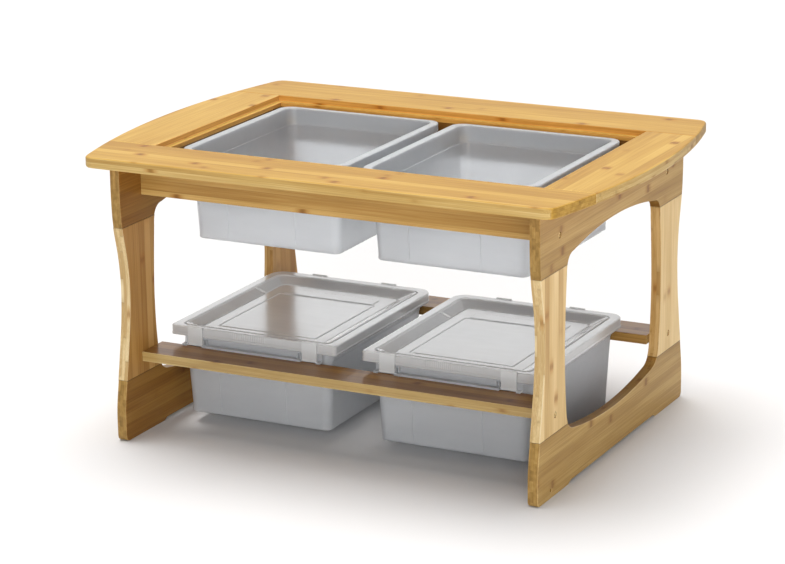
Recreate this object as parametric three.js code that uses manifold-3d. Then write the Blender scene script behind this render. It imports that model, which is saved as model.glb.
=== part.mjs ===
// Sensory play table for small children: a bamboo frame whose top opening holds two lift-out bins,
// with two more bins, under lids with side clips, hung between two boards below.
// Millimetres, +X along the table, -Y the front, +Z up; the origin is on the floor under the middle.
import * as THREE from 'three';
import { mergeVertices } from 'three/addons/utils/BufferGeometryUtils.js';
import Module from 'manifold-3d';

const wasm = await Module();
wasm.setup();

// ---- driving dimensions -------------------------------------------------------------------------
const GAP = 0.3; // between faces that touch on the real table

const TOP_HEIGHT = 540;
const TOP_THICKNESS = 20;
const TOP_HALF_DEPTH = 363.6;
const TOP_HALF_LENGTH = 503; // at the middle of the bowed ends
const TOP_END_RADIUS = 1455;
const TOP_CORNER = 20;
const TOP_EDGE_ROUND = 3.5;
const OPENING_HALF_X = 386.8;
const OPENING_HALF_Y = 233.5;
const LEDGE_DEPTH = 11; // below the top surface
const LEDGE_WIDTH = 9;

const FRAME_OUTER_X = 423.3; // outer face of each end frame
const FRAME_THICKNESS = 19.5;
const UPPER_SEAM = 403.5;
const LOWER_SEAM = 114.5;
const FOOT_ROUND = 12;
const FOOT_PAD_INNER = 205;
const FOOT_RELIEF = 5;
const RAIL_RISE = 83; // top of the bottom rail at its middle
const RAIL_RADIUS = 1008;
const ARCH_HEIGHT = 441; // underside of the top rail at its middle
const ARCH_RADIUS = 950;
// front-to-back half distance of the post's edges at a few heights, [height, half distance]
const POST_OUTER = [[12, 338], [60, 337.5], [114, 329], [165, 320], [228, 310.5], [290, 307.5],
  [345, 313], [403, 325.5], [450, 329.5], [519.7, 330]];
const POST_INNER = [[140, 216.5], [195, 222], [262, 224], [335, 220.5], [385, 216.5]];

const APRON_OUTER_Y = 257.4;
const APRON_THICKNESS = 20;
const APRON_BOTTOM = 451.8;

const BOARD_TOP = 156.5;
const BOARD_THICKNESS = 18;
const BOARD_OUTER_Y = 275;
const BOARD_INNER_Y = 204;

const BIN_HEIGHT = 170;
const BIN_FLOOR_HALF = [147.5, 184];
const BIN_DRAFT = Math.tan(THREE.MathUtils.degToRad(3));
const BIN_WALL = 2.5;
const RIM_HALF = [171, 200];
const RIM_CORNER = 26;
const COLLAR_HEIGHT = 32.5; // from the rim down to the lip that the bin hangs by
const RIM_SKIRT = 15;
const LIP_REACH = 11;
const LIP_THICKNESS = 4;
const UPPER_BIN_X = [-185, 185];
const LOWER_BIN_X = [-211, 188];
const CLEAT_HEIGHT = 22;
const CLEAT_INNER_Y = 204;

const LID_THICKNESS = 2.5;
const LID_SKIRT = 18.5;
const LID_SKIRT_WALL = 2;
const LID_CLEARANCE = 0.4;
const LID_RECESS = 9.5;
const LID_FRONT_CORNER = 7; // the front corners reach past the bin's rounder ones as finger tabs
// the recess: half width and front and rear distances of its brim and of its flat panel
const LID_BRIM = { x: 150, front: -187, rear: 177 };
const LID_PANEL = { x: 127, front: -176, rear: 147 };
const LID_FRAME_LINE = { x: 103, front: -147, rear: 88 }; // a shallow groove drawn on the panel
const LID_PAD = { x: 97, front: 92, rear: 124 }; // a low raised pad behind it
const LID_NOTCH_Y = 76; // across each side slope, three quarters of the way back
const RIB_AWAY = [18, 24]; // each rib's distance from its clip's middle
const RIB_WIDTH = 2;
const RIB_REACH = 6;
const CLIP_WIDTH = 31;
const CLIP_LENGTH = 33.3; // below its hinge line
const CLIP_THICKNESS = 2.2;
const CLIP_BARREL = 2.8; // radius of the round head that the clip swings on
const CLIP_OFFSET = { front: 120, rear: 76 }; // of each clip from the lid's middle

const TOP_BOLT = { y: 247.4, z: 464 };
const BOARD_BOLT = { y: 264, z: 147.5 };
const BOLT_HEAD_RADIUS = 5.5;
const BOLT_SHANK_RADIUS = 3;
const BOLT_LENGTH = 52;
const NUT_RADIUS = 5;
const NUT_DISTANCE = 26; // of the barrel nut from the end frame's inner face
const BOLT_CLEARANCE = 0.3;
const CLEAT_SCREW_X = [-250, 0, 250];
const CLEAT_SCREW_HEAD = 4.5; // radius
const CLEAT_SCREW_SHANK = 2;
const CLEAT_SCREW_LENGTH = 48;
const FOOT_HOLE = { radius: 3.5, depth: 6, y: -282, z: 15 }; // a small blind hole outside each front foot

const FRAME_INNER_X = FRAME_OUTER_X - FRAME_THICKNESS;
const TOP_UNDERSIDE = TOP_HEIGHT - TOP_THICKNESS;
const LEDGE_TOP = TOP_HEIGHT - LEDGE_DEPTH;
const CLEAT_TOP = TOP_HEIGHT - 44;
const CLEAT_SCREW_Z = CLEAT_TOP - CLEAT_HEIGHT / 2;
const BIN_SEAT = BIN_HEIGHT - COLLAR_HEIGHT; // height of the lip's underside above the bin's floor

// ---- materials ----------------------------------------------------------------------------------
const bamboo = new THREE.MeshStandardMaterial({ color: 0xe0b673, roughness: 0.45 });
const bambooSide = new THREE.MeshStandardMaterial({ color: 0xb98f57, roughness: 0.5 });
const frostedPlastic = new THREE.MeshStandardMaterial({ color: 0xd5d9dc, roughness: 0.35 });
const lidPlastic = new THREE.MeshStandardMaterial({ color: 0xbfc3c6, roughness: 0.3 });
const clipPlastic = new THREE.MeshStandardMaterial({ color: 0xe6e9ea, roughness: 0.35 });
const brass = new THREE.MeshStandardMaterial({ color: 0xc29a4b, roughness: 0.35, metalness: 1 });
const zinc = new THREE.MeshStandardMaterial({ color: 0xb9bcc0, roughness: 0.4, metalness: 1 });

const table = new THREE.Group();

// ---- solids: joining, cutting and placing -------------------------------------------------------
function solid(geometry) {
  const bare = geometry.index ? geometry.toNonIndexed() : geometry.clone();
  bare.deleteAttribute('normal');
  bare.deleteAttribute('uv');
  const merged = mergeVertices(bare, 1e-4);
  return new wasm.Manifold(new wasm.Mesh({
    numProp: 3,
    vertProperties: new Float32Array(merged.attributes.position.array),
    triVerts: new Uint32Array(merged.index.array),
  }));
}

function add(name, body, material) {
  const { vertProperties, triVerts, numProp } = body.getMesh();
  const positions = [];
  for (let i = 0; i < vertProperties.length; i += numProp) {
    positions.push(vertProperties[i], vertProperties[i + 1], vertProperties[i + 2]);
  }
  const geometry = new THREE.BufferGeometry();
  geometry.setAttribute('position', new THREE.Float32BufferAttribute(positions, 3));
  geometry.setIndex([...triVerts]);
  geometry.computeVertexNormals();
  const mesh = new THREE.Mesh(geometry, material);
  mesh.name = name;
  table.add(mesh);
}

function block([x0, x1], [y0, y1], [z0, z1]) {
  const box = new THREE.BoxGeometry(x1 - x0, y1 - y0, z1 - z0);
  return solid(box.translate((x0 + x1) / 2, (y0 + y1) / 2, (z0 + z1) / 2));
}

// a cylinder of a given radius between two points
function rod(radius, from, to, sides = 16) {
  const start = new THREE.Vector3(...from);
  const axis = new THREE.Vector3(...to).sub(start);
  const cylinder = new THREE.CylinderGeometry(radius, radius, axis.length(), sides);
  const turn = new THREE.Quaternion();
  turn.setFromUnitVectors(new THREE.Vector3(0, 1, 0), axis.clone().normalize());
  cylinder.applyQuaternion(turn);
  const middle = start.addScaledVector(axis, 0.5);
  return solid(cylinder.translate(middle.x, middle.y, middle.z));
}

// a shape drawn in (x, y), standing between two heights
function upright(shape, z0, z1) {
  const prism = new THREE.ExtrudeGeometry(shape, { depth: z1 - z0, bevelEnabled: false });
  return solid(prism.translate(0, 0, z0));
}

// a shape drawn in (y, z), running along x
function along(shape, x0, x1) {
  const prism = new THREE.ExtrudeGeometry(shape, { depth: x1 - x0, bevelEnabled: false });
  const toYZ = new THREE.Matrix4().makeBasis(
    new THREE.Vector3(0, 1, 0),
    new THREE.Vector3(0, 0, 1),
    new THREE.Vector3(1, 0, 0),
  );
  return solid(prism.applyMatrix4(toYZ).translate(x0, 0, 0));
}

// a level ring of a skin: half width, front and rear distances, corner radius and height, with a
// front corner radius of its own where that differs
const CORNER_STEPS = 5;
function ringPoints({ x, front, rear, radius, z, frontRadius = radius }) {
  const points = [];
  for (const [sx, sy, start] of [[1, 1, 0], [-1, 1, 1], [-1, -1, 2], [1, -1, 3]]) {
    const round = sy > 0 ? radius : frontRadius;
    const centreY = sy > 0 ? rear - round : front + round;
    for (let k = 0; k <= CORNER_STEPS; k += 1) {
      const angle = (start + k / CORNER_STEPS) * Math.PI / 2;
      points.push([sx * (x - round) + round * Math.cos(angle), centreY + round * Math.sin(angle), z]);
    }
  }
  return points;
}

// a closed skin through a stack of rings, capped on the first and the last; the stack runs from the
// outside underneath to the inside
function skin(rings) {
  const positions = [];
  const count = 4 * (CORNER_STEPS + 1);
  for (const ring of rings) positions.push(...ringPoints(ring).flat());
  const index = [];
  for (let ring = 0; ring + 1 < rings.length; ring += 1) {
    for (let k = 0; k < count; k += 1) {
      const a = ring * count + k;
      const b = ring * count + (k + 1) % count;
      index.push(a, b, b + count, a, b + count, a + count);
    }
  }
  for (const [number, flip] of [[0, true], [rings.length - 1, false]]) {
    const centre = positions.length / 3;
    const { front, rear, z } = rings[number];
    positions.push(0, (front + rear) / 2, z);
    for (let k = 0; k < count; k += 1) {
      const a = number * count + k;
      const b = number * count + (k + 1) % count;
      index.push(...(flip ? [b, a, centre] : [a, b, centre]));
    }
  }
  const geometry = new THREE.BufferGeometry();
  geometry.setAttribute('position', new THREE.Float32BufferAttribute(positions, 3));
  geometry.setIndex(index);
  return solid(geometry);
}

const sides = [['left', -1], ['right', 1]];
const ends = [['front', -1], ['rear', 1]];

// from near to far of the middle, on the side that the sign gives, as an ordered pair
function span(sign, near, far) {
  return [sign * near, sign * far].sort((p, q) => p - q);
}

// ---- end frames ---------------------------------------------------------------------------------
// an edge's half distance through its [height, half distance] points, as points in (y, z)
function edgePoints(stations, count) {
  const curve = new THREE.CatmullRomCurve3(stations.map(([z, y]) => new THREE.Vector3(y, z, 0)));
  return curve.getPoints(count).map((point) => new THREE.Vector2(point.x, point.y));
}

function arcPoints(halfSpan, radius, middle, bulge, count) {
  const points = [];
  for (let k = 0; k <= count; k += 1) {
    const y = halfSpan * k / count;
    points.push(new THREE.Vector2(y, middle + bulge * (radius - Math.sqrt(radius ** 2 - y ** 2))));
  }
  return points;
}

function fillet(from, corner, to, count = 11) {
  return new THREE.QuadraticBezierCurve(from, corner, to).getPoints(count).slice(1, -1);
}

// both halves of a line given from its lowest point to its highest, closed into one outline
function mirrored(half) {
  const other = half.map((point) => new THREE.Vector2(-point.x, point.y)).reverse();
  return [...half, ...other.filter((point) => Math.abs(point.x) > 1e-6)];
}

function frameOutline() {
  const outer = edgePoints(POST_OUTER, 40);
  const foot = new THREE.Vector2(outer[0].x, 0);
  const pad = new THREE.Vector2(outer[0].x - FOOT_ROUND, 0);
  return new THREE.Shape(mirrored([
    new THREE.Vector2(FOOT_PAD_INNER - 2 * FOOT_RELIEF, FOOT_RELIEF),
    new THREE.Vector2(FOOT_PAD_INNER, 0),
    pad,
    ...fillet(pad, foot, outer[0]),
    ...outer,
  ]));
}

function frameOpening() {
  const rail = arcPoints(187, RAIL_RADIUS, RAIL_RISE, 1, 14);
  const arch = arcPoints(186, ARCH_RADIUS, ARCH_HEIGHT, -1, 14);
  const inner = edgePoints(POST_INNER, 24);
  const first = inner[0];
  const last = inner[inner.length - 1];
  return new THREE.Shape(mirrored([
    ...rail,
    ...fillet(rail[rail.length - 1], new THREE.Vector2(first.x - 3, 107), first),
    ...inner,
    ...fillet(last, new THREE.Vector2(last.x, 422), arch[arch.length - 1]),
    ...arch.reverse(),
  ]));
}

function buildEndFrames() {
  for (const [side, sign] of sides) {
    const x = span(sign, FRAME_INNER_X, FRAME_OUTER_X);
    let frame = along(frameOutline(), ...x).subtract(along(frameOpening(), x[0] - 1, x[1] + 1));
    for (const [, end] of ends) {
      for (const bolt of [TOP_BOLT, BOARD_BOLT]) {
        frame = frame.subtract(boltHole(sign, end * bolt.y, bolt.z));
      }
    }
    const inHole = (depth) => [sign * (FRAME_OUTER_X - depth), FOOT_HOLE.y, FOOT_HOLE.z];
    frame = frame.subtract(rod(FOOT_HOLE.radius, inHole(FOOT_HOLE.depth), inHole(-1)));
    const wide = [x[0] - 1, x[1] + 1];
    const deep = TOP_HALF_DEPTH;
    const half = GAP / 2;
    const slice = (y, z) => frame.intersect(block(wide, y, z));
    add(`top_rail_${side}`, slice([-deep, deep], [UPPER_SEAM + half, TOP_UNDERSIDE - GAP]), bambooSide);
    add(`bottom_rail_${side}`, slice([-deep, deep], [-1, LOWER_SEAM - half]), bambooSide);
    add(`front_post_${side}`, slice([-deep, 0], [LOWER_SEAM + half, UPPER_SEAM - half]), bambooSide);
    add(`rear_post_${side}`, slice([0, deep], [LOWER_SEAM + half, UPPER_SEAM - half]), bambooSide);
  }
}

// ---- bolts and barrel nuts ----------------------------------------------------------------------
// the counterbore and shank hole that a bolt at (y, z) needs, on the side that sign gives
function boltHole(sign, y, z) {
  const at = (x) => [sign * x, y, z];
  const seat = FRAME_OUTER_X - 4;
  return rod(BOLT_HEAD_RADIUS + 0.5, at(seat), at(FRAME_OUTER_X + 1))
    .add(rod(BOLT_SHANK_RADIUS + BOLT_CLEARANCE, at(seat - BOLT_LENGTH - 3), at(seat + 1)));
}

// a barrel nut lies across its bolt: along y in an apron, upright in a lower board
function nutHole(sign, bolt, end, isApron) {
  const x = sign * (FRAME_INNER_X - NUT_DISTANCE);
  const radius = NUT_RADIUS + BOLT_CLEARANCE;
  if (isApron) {
    return rod(radius, [x, end * (bolt.y - 12), bolt.z], [x, end * (bolt.y + 7), bolt.z]);
  }
  return rod(radius, [x, end * bolt.y, bolt.z - 12], [x, end * bolt.y, bolt.z + 6.5]);
}

function buildFasteners() {
  for (const [side, sign] of sides) {
    for (const [endName, end] of ends) {
      for (const [rail, bolt, isApron] of [['apron', TOP_BOLT, true], ['board', BOARD_BOLT, false]]) {
        const y = end * bolt.y;
        const at = (x) => [sign * x, y, bolt.z];
        const seat = FRAME_OUTER_X - 4 + GAP;
        const headTop = FRAME_OUTER_X - 0.8;
        const head = rod(BOLT_HEAD_RADIUS, at(seat), at(headTop));
        const socket = rod(2.6, at(headTop - 2), at(headTop + 1), 6);
        const shank = rod(BOLT_SHANK_RADIUS, at(seat - BOLT_LENGTH), at(seat + 0.5), 12);
        add(`${rail}_bolt_${endName}_${side}`, head.subtract(socket).add(shank), brass);

        const x = sign * (FRAME_INNER_X - NUT_DISTANCE);
        const low = isApron ? [x, end * (bolt.y - 9), bolt.z] : [x, y, bolt.z - 8];
        const high = isApron ? [x, end * (bolt.y + 6.5), bolt.z] : [x, y, bolt.z + 6];
        const bore = rod(BOLT_SHANK_RADIUS + BOLT_CLEARANCE, [x - 10, y, bolt.z], [x + 10, y, bolt.z], 12);
        add(`${rail}_barrel_nut_${endName}_${side}`, rod(NUT_RADIUS, low, high).subtract(bore), zinc);
      }
    }
  }
}

// ---- aprons, bin cleats and lower boards --------------------------------------------------------
function buildRails() {
  const reach = FRAME_INNER_X - GAP;
  for (const [name, end] of ends) {
    const apronDepth = span(end, APRON_OUTER_Y - APRON_THICKNESS, APRON_OUTER_Y);
    let apron = block([-reach, reach], apronDepth, [APRON_BOTTOM, TOP_UNDERSIDE - GAP]);
    const boardHeights = [BOARD_TOP - BOARD_THICKNESS, BOARD_TOP];
    let board = block([-reach, reach], span(end, BOARD_INNER_Y, BOARD_OUTER_Y), boardHeights);
    for (const [, sign] of sides) {
      apron = apron.subtract(boltHole(sign, end * TOP_BOLT.y, TOP_BOLT.z));
      apron = apron.subtract(nutHole(sign, TOP_BOLT, end, true));
      board = board.subtract(boltHole(sign, end * BOARD_BOLT.y, BOARD_BOLT.z));
      board = board.subtract(nutHole(sign, BOARD_BOLT, end, false));
    }
    for (const x of CLEAT_SCREW_X) apron = apron.subtract(cleatScrewHole(x, end));
    add(`apron_${name}`, apron, bamboo);
    add(`lower_board_${name}`, board, bambooSide);
  }
}

// the stepped hole that a cleat's screw needs through the cleat and into the apron
function cleatScrewHole(x, end) {
  const at = (y) => [x, end * y, CLEAT_SCREW_Z];
  const headHole = rod(CLEAT_SCREW_HEAD + BOLT_CLEARANCE, at(CLEAT_INNER_Y - 1), at(CLEAT_INNER_Y + 4));
  const tip = CLEAT_INNER_Y + CLEAT_SCREW_LENGTH + 1;
  return headHole.add(rod(CLEAT_SCREW_SHANK + BOLT_CLEARANCE, at(CLEAT_INNER_Y + 3), at(tip), 12));
}

function buildCleats() {
  const reach = OPENING_HALF_X - 15;
  for (const [name, end] of ends) {
    const depth = span(end, CLEAT_INNER_Y, APRON_OUTER_Y - APRON_THICKNESS - GAP);
    let cleat = block([-reach, reach], depth, [CLEAT_TOP - CLEAT_HEIGHT, CLEAT_TOP]);
    CLEAT_SCREW_X.forEach((x, number) => {
      cleat = cleat.subtract(cleatScrewHole(x, end));
      const at = (y) => [x, end * (CLEAT_INNER_Y + y), CLEAT_SCREW_Z];
      const head = rod(CLEAT_SCREW_HEAD, at(0.8), at(4 - GAP));
      const socket = rod(2, at(-1), at(2.4), 4);
      const shank = rod(CLEAT_SCREW_SHANK, at(3.4), at(CLEAT_SCREW_LENGTH), 12);
      add(`cleat_screw_${name}_${number + 1}`, head.subtract(socket).add(shank), zinc);
    });
    add(`bin_cleat_${name}`, cleat, bambooSide);
  }
}

// ---- framed top ---------------------------------------------------------------------------------
// the top's outline: straight long sides, bowed ends, rounded corners
function topOutline() {
  const cornerY = TOP_HALF_DEPTH - TOP_CORNER;
  const endX = (y) => TOP_HALF_LENGTH - TOP_END_RADIUS + Math.sqrt(TOP_END_RADIUS ** 2 - y ** 2);
  const bow = [];
  const steps = 28;
  for (let k = 0; k <= steps; k += 1) {
    const y = cornerY * (2 * k / steps - 1);
    bow.push(new THREE.Vector2(endX(y), y));
  }
  const square = new THREE.Vector2(endX(TOP_HALF_DEPTH), TOP_HALF_DEPTH);
  const inward = new THREE.Vector2(square.x - TOP_CORNER, TOP_HALF_DEPTH);
  const corner = fillet(bow[steps], square, inward);
  const rearRight = [...corner, inward];
  const frontRight = rearRight.map((point) => new THREE.Vector2(point.x, -point.y)).reverse();
  const right = [...frontRight, ...bow, ...rearRight];
  const left = right.map((point) => new THREE.Vector2(-point.x, -point.y));
  return new THREE.Shape([...right, ...left]);
}

function buildTop() {
  const bevel = {
    depth: TOP_THICKNESS - 2 * TOP_EDGE_ROUND,
    bevelThickness: TOP_EDGE_ROUND,
    bevelSize: TOP_EDGE_ROUND,
    bevelOffset: -TOP_EDGE_ROUND,
    bevelSegments: 3,
  };
  const slab = new THREE.ExtrudeGeometry(topOutline(), bevel);
  slab.translate(0, 0, TOP_UNDERSIDE + TOP_EDGE_ROUND);
  const innerX = OPENING_HALF_X - LEDGE_WIDTH;
  const innerY = OPENING_HALF_Y - LEDGE_WIDTH;
  const both = (half) => [-half, half];
  const rebate = block(both(OPENING_HALF_X), both(OPENING_HALF_Y), [LEDGE_TOP, TOP_HEIGHT + 1]);
  const hole = block(both(innerX), both(innerY), [TOP_UNDERSIDE - 1, TOP_HEIGHT]);
  const ring = solid(slab).subtract(rebate).subtract(hole);
  const half = GAP / 2;
  const far = TOP_HALF_LENGTH + 1;
  const height = [TOP_UNDERSIDE - 1, TOP_HEIGHT + 1];
  const seam = OPENING_HALF_Y + half;
  for (const [name, end] of ends) {
    const board = block([-far, far], span(end, seam, TOP_HALF_DEPTH + 1), height);
    const ledge = block([-innerX + half, innerX - half], span(end, 0, seam + 1), height);
    add(`top_board_${name}`, ring.intersect(board.add(ledge)), bamboo);
  }
  for (const [side, sign] of sides) {
    const board = block(span(sign, innerX + half, far), both(OPENING_HALF_Y - half), height);
    add(`top_board_${side}`, ring.intersect(board), bamboo);
  }
}

// ---- bins ---------------------------------------------------------------------------------------
// the open bin itself, from under its floor, up its outside, round the rim and down its inside
function binShell() {
  const ring = (x, y, radius, z) => ({ x, front: -y, rear: y, radius, z });
  const wall = (z, radius, inset = 0) => {
    const [x, y] = BIN_FLOOR_HALF.map((half) => half + z * BIN_DRAFT - inset);
    return ring(x, y, radius, z);
  };
  const rim = (inset, z) => ring(RIM_HALF[0] - inset, RIM_HALF[1] - inset, RIM_CORNER - inset, z);
  const underRim = BIN_HEIGHT - BIN_WALL;
  const skirtBottom = BIN_HEIGHT - RIM_SKIRT;
  return skin([
    wall(0, 12, 8),
    wall(2.5, 15, 2.5),
    wall(8, 17),
    wall(underRim, 20),
    rim(BIN_WALL, underRim),
    rim(BIN_WALL, skirtBottom),
    rim(0, skirtBottom),
    rim(0, BIN_HEIGHT - 1.5),
    rim(1.5, BIN_HEIGHT),
    wall(BIN_HEIGHT, 19, BIN_WALL - 1.2),
    wall(BIN_HEIGHT - 2, 18, BIN_WALL),
    wall(9, 15, BIN_WALL),
    wall(4.5, 13, BIN_WALL + 2.5),
    wall(BIN_WALL, 10, BIN_WALL + 8),
  ]);
}

// the collar's deeper stretch along the front or back, with the lip the bin hangs by, cut away
// where a lid's clips come down over it, and a pair of ribs on the inner side of each clip
function binCollar(endName, end) {
  const skirtBottom = BIN_HEIGHT - RIM_SKIRT;
  const reach = RIM_HALF[0] - RIM_CORNER;
  const face = RIM_HALF[1];
  const wall = block([-reach, reach], span(end, face - BIN_WALL, face), [BIN_SEAT, skirtBottom + 1]);
  const lipHeights = [BIN_SEAT, BIN_SEAT + LIP_THICKNESS];
  let lip = block([-reach, reach], span(end, face - 1, face + LIP_REACH), lipHeights);
  for (const [, hand] of sides) {
    const middle = hand * CLIP_OFFSET[endName];
    const half = CLIP_WIDTH / 2 + 1;
    const slot = block([middle - half, middle + half], span(end, face + 1.5, face + 2 * LIP_REACH),
      [BIN_SEAT - 1, BIN_SEAT + LIP_THICKNESS + 1]);
    lip = lip.subtract(slot);
    for (const away of RIB_AWAY) {
      const place = hand * (CLIP_OFFSET[endName] - away);
      const width = [place - RIB_WIDTH / 2, place + RIB_WIDTH / 2];
      lip = lip.add(block(width, span(end, face - 1, face + RIB_REACH), [BIN_SEAT + 1, skirtBottom - 4]));
    }
  }
  return wall.add(lip);
}

function buildBin(name, x, floor) {
  let bin = binShell();
  for (const [endName, end] of ends) bin = bin.add(binCollar(endName, end));
  add(name, bin.translate([x, 0, floor]), frostedPlastic);
}

// ---- lids and their clips -----------------------------------------------------------------------
// heights here are above the bin's rim
const LID_UNDER = GAP;
const LID_TOP = LID_UNDER + LID_THICKNESS;
const HINGE_Y = RIM_HALF[1] + LID_CLEARANCE + LID_SKIRT_WALL - 0.2;
const HINGE_Z = LID_TOP - 1;

function lidShell() {
  const grown = ({ x, front, rear }, out) => ({ x: x + out, front: front - out, rear: rear + out });
  const brim = (out, radius, z) => ({ ...grown(LID_BRIM, out), radius, z, frontRadius: 12 });
  const panel = (out, radius, z) => ({ ...grown(LID_PANEL, out), radius, z });
  const frameLine = (out, z) => ({ ...grown(LID_FRAME_LINE, out), radius: 3, z });
  const edge = (inset, radius, z, frontRadius) => {
    const [x, rear] = RIM_HALF.map((half) => half + LID_CLEARANCE - inset);
    return { x, front: -rear, rear, radius, z, frontRadius };
  };
  const skirtBottom = LID_TOP - LID_SKIRT;
  const floor = LID_TOP - LID_RECESS;
  const outer = RIM_CORNER + LID_SKIRT_WALL;
  return skin([
    panel(-40, 8, floor - LID_THICKNESS),
    panel(1, 12, floor - LID_THICKNESS),
    brim(1.5, 16, LID_UNDER),
    edge(0, RIM_CORNER, LID_UNDER, LID_FRONT_CORNER - LID_SKIRT_WALL),
    edge(0, RIM_CORNER, skirtBottom, LID_FRONT_CORNER - LID_SKIRT_WALL),
    edge(-LID_SKIRT_WALL, outer, skirtBottom, LID_FRONT_CORNER),
    edge(-LID_SKIRT_WALL, outer, LID_TOP - 1.5, LID_FRONT_CORNER),
    edge(1.5 - LID_SKIRT_WALL, outer - 1.5, LID_TOP, LID_FRONT_CORNER - 1.5),
    brim(6, 18, LID_TOP),
    brim(5, 17, LID_TOP - 1.2),
    brim(3, 16, LID_TOP - 1.2),
    brim(2, 15, LID_TOP),
    brim(0, 15, LID_TOP),
    panel(0, 12, floor),
    frameLine(1.5, floor),
    frameLine(1, floor - 1),
    frameLine(-1, floor - 1),
    frameLine(-1.5, floor),
    frameLine(-20, floor),
  ]);
}

function buildLid(side, x, rimHeight) {
  const floor = LID_TOP - LID_RECESS;
  const pad = block([-LID_PAD.x, LID_PAD.x], [LID_PAD.front, LID_PAD.rear], [floor - 1, floor + 1]);
  let lid = lidShell().add(pad);
  for (const [, hand] of sides) {
    const at = (across) => [hand * across, LID_NOTCH_Y, LID_TOP];
    lid = lid.subtract(rod(4.5, at(LID_PANEL.x - 8), at(LID_BRIM.x + 1)));
  }
  for (const [endName, end] of ends) {
    for (const [, hand] of sides) {
      // the notch in the lid's edge that a clip's round head turns in
      const middle = hand * CLIP_OFFSET[endName];
      const half = CLIP_WIDTH / 2 + GAP;
      const at = (across) => [middle + across, end * HINGE_Y, HINGE_Z];
      lid = lid.subtract(rod(CLIP_BARREL + GAP, at(-half), at(half)));
    }
  }
  add(`lid_${side}`, lid.translate([x, 0, rimHeight]), lidPlastic);
}

// a clip's section round its hinge line, in (outward, up): a round head with a plate down its outside
function clipShape() {
  const inner = CLIP_BARREL - CLIP_THICKNESS;
  const shape = new THREE.Shape();
  shape.moveTo(inner, -CLIP_LENGTH);
  shape.lineTo(CLIP_BARREL, -CLIP_LENGTH);
  shape.lineTo(CLIP_BARREL, 0);
  shape.absarc(0, 0, CLIP_BARREL, 0, 2 * Math.PI - Math.acos(inner / CLIP_BARREL), false);
  return shape;
}

function buildClips(side, x, rimHeight) {
  for (const [endName, end] of ends) {
    for (const [hand, sign] of sides) {
      const clip = along(clipShape(), -CLIP_WIDTH / 2, CLIP_WIDTH / 2).translate([0, HINGE_Y, HINGE_Z]);
      const facing = end < 0 ? clip.rotate([0, 0, 180]) : clip;
      const middle = x + sign * CLIP_OFFSET[endName];
      add(`clip_${side}_${endName}_${hand}`, facing.translate([middle, 0, rimHeight]), clipPlastic);
    }
  }
}

// ---- assembly -----------------------------------------------------------------------------------
buildTop();
buildRails();
buildCleats();
buildEndFrames();
buildFasteners();
const upperFloor = CLEAT_TOP + GAP - BIN_SEAT;
const lowerFloor = BOARD_TOP + GAP - BIN_SEAT;
sides.forEach(([side], number) => {
  buildBin(`upper_bin_${side}`, UPPER_BIN_X[number], upperFloor);
  buildBin(`lower_bin_${side}`, LOWER_BIN_X[number], lowerFloor);
  buildLid(side, LOWER_BIN_X[number], lowerFloor + BIN_HEIGHT);
  buildClips(side, LOWER_BIN_X[number], lowerFloor + BIN_HEIGHT);
});

export default table;
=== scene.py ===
"""The looks of the sensory play table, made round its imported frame. Metres, in the frame's own axes."""

import math
from itertools import product

import bmesh
import bpy
import numpy as np
from mathutils import Matrix, Vector


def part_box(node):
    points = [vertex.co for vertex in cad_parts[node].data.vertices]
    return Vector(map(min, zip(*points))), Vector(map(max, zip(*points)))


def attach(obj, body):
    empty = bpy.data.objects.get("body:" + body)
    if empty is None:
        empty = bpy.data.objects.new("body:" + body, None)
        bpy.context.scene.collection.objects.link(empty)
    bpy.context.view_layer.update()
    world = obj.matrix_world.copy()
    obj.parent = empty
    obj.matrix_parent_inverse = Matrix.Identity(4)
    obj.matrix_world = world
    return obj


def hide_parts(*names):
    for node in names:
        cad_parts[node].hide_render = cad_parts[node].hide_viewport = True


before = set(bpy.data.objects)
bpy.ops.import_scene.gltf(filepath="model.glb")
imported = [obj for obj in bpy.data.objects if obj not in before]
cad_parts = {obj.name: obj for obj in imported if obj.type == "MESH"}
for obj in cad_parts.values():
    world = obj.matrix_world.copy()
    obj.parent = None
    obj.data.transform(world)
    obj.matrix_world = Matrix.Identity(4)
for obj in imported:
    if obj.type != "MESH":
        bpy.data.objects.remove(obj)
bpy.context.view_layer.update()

MM = 0.001
X, Y, Z = 0, 1, 2
SIDES = {"left": -1, "right": 1}
ENDS = {"front": -1, "rear": 1}
scene = bpy.context.scene


# ---- material and world nodes -----------------------------------------------------------------
def scaled(colour, factors):
    """A colour times three factors, or times one number."""
    return tuple(np.multiply(colour, factors))


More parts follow.
